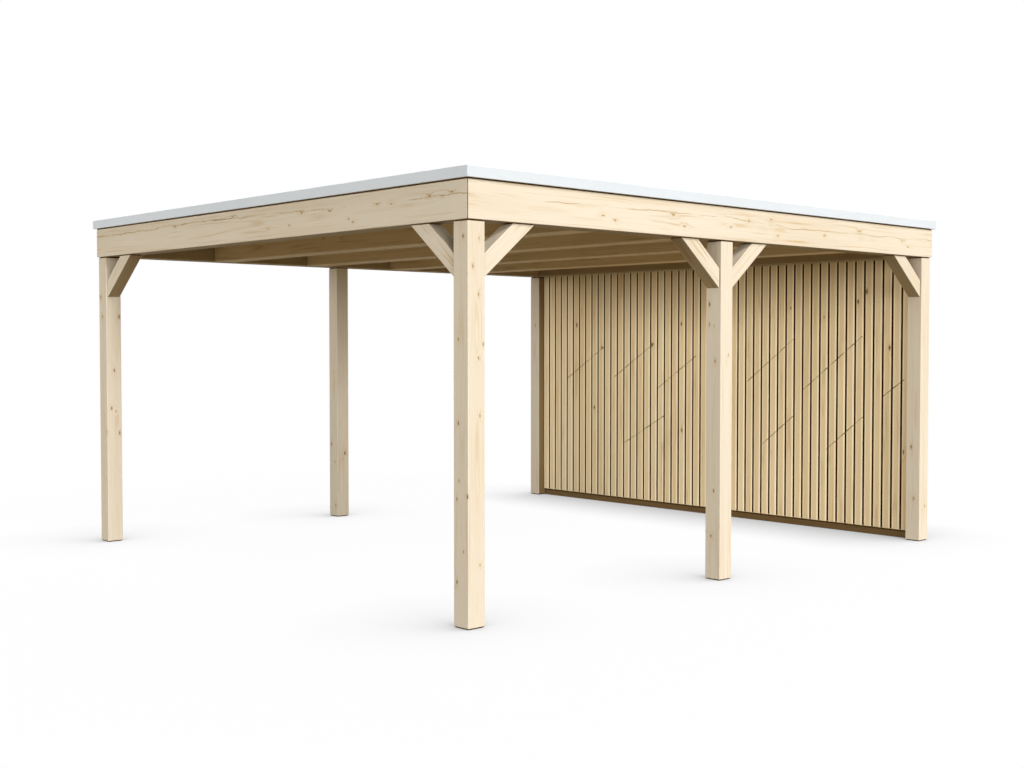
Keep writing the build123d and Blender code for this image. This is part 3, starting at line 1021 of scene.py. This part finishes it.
def folded_outline(cover, height):
    """Section of the folded sheet, from its outer face: return below, face, and cover on top."""
    bottom, top = -height / 2, height / 2
    inner = TRIM_FOLD - TRIM_SHEET
    points = [(-TRIM_RETURN, bottom)]
    points += fold(-TRIM_FOLD, bottom + TRIM_FOLD, TRIM_FOLD, -90)
    points += fold(-TRIM_FOLD, top - TRIM_FOLD, TRIM_FOLD, 0)
    points += [(-cover, top), (-cover, top - TRIM_SHEET)]
    points += reversed(fold(-TRIM_FOLD, top - TRIM_FOLD, inner, 0))
    points += reversed(fold(-TRIM_FOLD, bottom + TRIM_FOLD, inner, -90))
    points += [(-TRIM_RETURN, bottom + TRIM_SHEET)]
    return np.array(points)


coating = Shading(bpy.data.materials.new("roof_edge_coating"))
trim_at = coating.nodes.new("ShaderNodeTexCoord").outputs["Object"]
clouds = coating.noise(trim_at, CLOUDY_WAVES, detail=4.0)
grainy = coating.noise(trim_at, GRAINY_WAVES)
weathered = coating.ease(clouds, *CLOUDY_ONSET, 0.0, CLOUDY_SHARE)
dull = coating.math("ADD", weathered, coating.ease(grainy, *GRAINY_ONSET, 0.0, GRAINY_SHARE))
coating.feed(coating.surface.inputs["Base Color"], coating.mix(dull, TRIM_PALE, TRIM_DULL))
coating.feed(coating.surface.inputs["Roughness"], coating.ease(dull, 0.0, 1.0, *TRIM_ROUGHNESS))
coating.surface.inputs["Metallic"].default_value = TRIM_METAL
coating.bump(grainy, TRIM_RELIEF)

for side, outward in SIDES.items():
    name = f"{side}_roof_edge_trim"
    low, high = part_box(name)
    size = high - low
    cover = abs(size.dot(outward))
    along = outward.cross(UP)
    length = abs(size.dot(along))
    folded = folded_outline(cover, size.z)
    points, faces, _ = loft(lambda distance: folded, length, RING_MITRE, 0.0, length)
    middle = (low + high) / 2 + outward * cover / 2
    sheet = {"place": np.array(middle) + points @ np.array((along, outward, UP)), "faces": faces}
    fit(f"{side}_roof_edge", [sheet], coating.owner, name)


# Floor: a plain pale floor, nearly white, with the soft shadow of the carport on it.
# Close to the feet and to the wall it darkens with painted shadow. The light it throws back up is warm
# and dim.

FLOOR_REACH = 80.0
FLOOR_BOUNCE = (0.285, 0.24, 0.152, 1.0)
FLOOR_PALE = (0.85, 0.85, 0.85, 1.0)
FLOOR_GLOW = 0.975
# How far the painted shadow reaches, how dark it is, and which way it leans
PAINTED_SHADOW_REACH = 0.95
PAINTED_SHADOW = 0.9
PAINTED_SHADOW_LEAN = (0.45, 0.0, 0.89)


def seen(shading):
    """One for rays that come from the eye, straight or by way of a shiny or clear surface."""
    path = shading.nodes.new("ShaderNodeLightPath")
    glossy, clear = path.outputs["Is Glossy Ray"], path.outputs["Is Transmission Ray"]
    bounced = shading.math("MAXIMUM", glossy, clear)
    return shading.math("MAXIMUM", path.outputs["Is Camera Ray"], bounced)


def blend(shading, share, first, second):
    """A mix of two shaders."""
    mixer = shading.nodes.new("ShaderNodeMixShader")
    for socket, value in zip(mixer.inputs, (share, first, second)):
        shading.feed(socket, value)
    return mixer.outputs["Shader"]


floor_quarters = ((-1, -1), (1, -1), (1, 1), (-1, 1))
floor_corners = [(x * FLOOR_REACH, y * FLOOR_REACH, 0) for x, y in floor_quarters]
floor_mesh = bpy.data.meshes.new("floor")
floor_mesh.from_pydata(floor_corners, [], [(0, 1, 2, 3)])
floor = bpy.data.objects.new("floor", floor_mesh)
bpy.context.scene.collection.objects.link(floor)
ground = Shading(bpy.data.materials.new("floor"))
ground.nodes.remove(ground.surface)
bounce = ground.nodes.new("ShaderNodeBsdfDiffuse")
bounce.inputs["Color"].default_value = FLOOR_BOUNCE
pale = ground.nodes.new("ShaderNodeBsdfDiffuse")
pale.inputs["Color"].default_value = FLOOR_PALE
nearness = ground.nodes.new("ShaderNodeAmbientOcclusion")
nearness.inputs["Distance"].default_value = PAINTED_SHADOW_REACH
ground.feed(nearness.inputs["Normal"], ground.vector("NORMALIZE", PAINTED_SHADOW_LEAN))
glow = ground.nodes.new("ShaderNodeEmission")
# Painted shadow: the glow seen by the eye darkens where the carport is near, most left of each foot
shadowed_glow = ground.math("MULTIPLY_ADD", nearness.outputs["AO"], PAINTED_SHADOW, 1 - PAINTED_SHADOW)
ground.feed(glow.inputs["Strength"], shadowed_glow)
shown = blend(ground, FLOOR_GLOW, pale.outputs["BSDF"], glow.outputs["Emission"])
whole = blend(ground, seen(ground), bounce.outputs["BSDF"], shown)
ground.feed(ground.nodes["Material Output"].inputs["Surface"], whole)
floor_mesh.materials.append(ground.owner)


# Light: a broad soft lamp high on the right, a weaker and softer one for the far sides, and a dim
# white studio. Two wide soft panels, far in front and far to the right, shine in under the roof.

# Each lamp's turn, height and softness in degrees, and how strong it is
LAMPS = {
    "key_light": (5, 40, 22, 2.8),
    "far_side_light": (240, 30, 60, 2.28),
}
PANEL_WIDTH = 200.0
PANEL_AWAY = 200.0
# Each panel's turn in degrees, its height from the floor in metres and how bright it is
PANELS = {
    "front_panel": (90, 28.0, 13.7),
    "side_panel": (10, 60.0, 8.4),
}
STUDIO_GLOW = 0.06


def place_lamp(light, turn, height, away):
    """Points a lamp at the origin; its turn is measured from the right towards the front."""
    holder = bpy.data.objects.new(light.name, light)
    turn, height = math.radians(turn), math.radians(height)
    level = Vector((math.cos(turn), -math.sin(turn), 0))
    way = level * math.cos(height) + UP * math.sin(height)
    holder.rotation_euler = way.to_track_quat("Z", "Y").to_euler()
    holder.location = way * away
    bpy.context.scene.collection.objects.link(holder)
    return holder


for name, (turn, height, softness, strength) in LAMPS.items():
    lamp = bpy.data.lights.new(name, "SUN")
    lamp.energy = strength
    lamp.angle = math.radians(softness)
    place_lamp(lamp, turn, height, 0.0)

for name, (turn, height, glow) in PANELS.items():
    panel = bpy.data.lights.new(name, "AREA")
    panel.shape = "RECTANGLE"
    panel.size = PANEL_WIDTH
    panel.size_y = height
    panel.energy = glow * math.pi * PANEL_WIDTH * height
    holder = place_lamp(panel, turn, 0.0, PANEL_AWAY)
    holder.location.z = height / 2
    holder.visible_camera = False
    holder.visible_glossy = False

studio = bpy.data.worlds.new("studio")
bpy.context.scene.world = studio
air = Shading(studio)
backdrop = air.nodes["Background"]
backdrop.inputs["Color"].default_value = (1, 1, 1, 1)
air.feed(backdrop.inputs["Strength"], air.ease(seen(air), 0.0, 1.0, STUDIO_GLOW, 1.0))


# Camera: at eye height in front of the right-hand corner, a little tilted down, with a plain
# lens and no blur, as the photograph was taken.

CAMERA_AT = (7.4512, -6.9380, 1.5471)
CAMERA_TURN = 47.167
CAMERA_DIP = 1.847
CAMERA_LENS = 46.08

camera = bpy.data.objects.new("camera", bpy.data.cameras.new("camera"))
camera.data.lens = CAMERA_LENS
camera.location = CAMERA_AT
camera.rotation_euler = (math.radians(90 - CAMERA_DIP), 0, math.radians(CAMERA_TURN))
bpy.context.scene.collection.objects.link(camera)
bpy.context.scene.camera = camera
bpy.context.scene.view_settings.view_transform = "Standard"
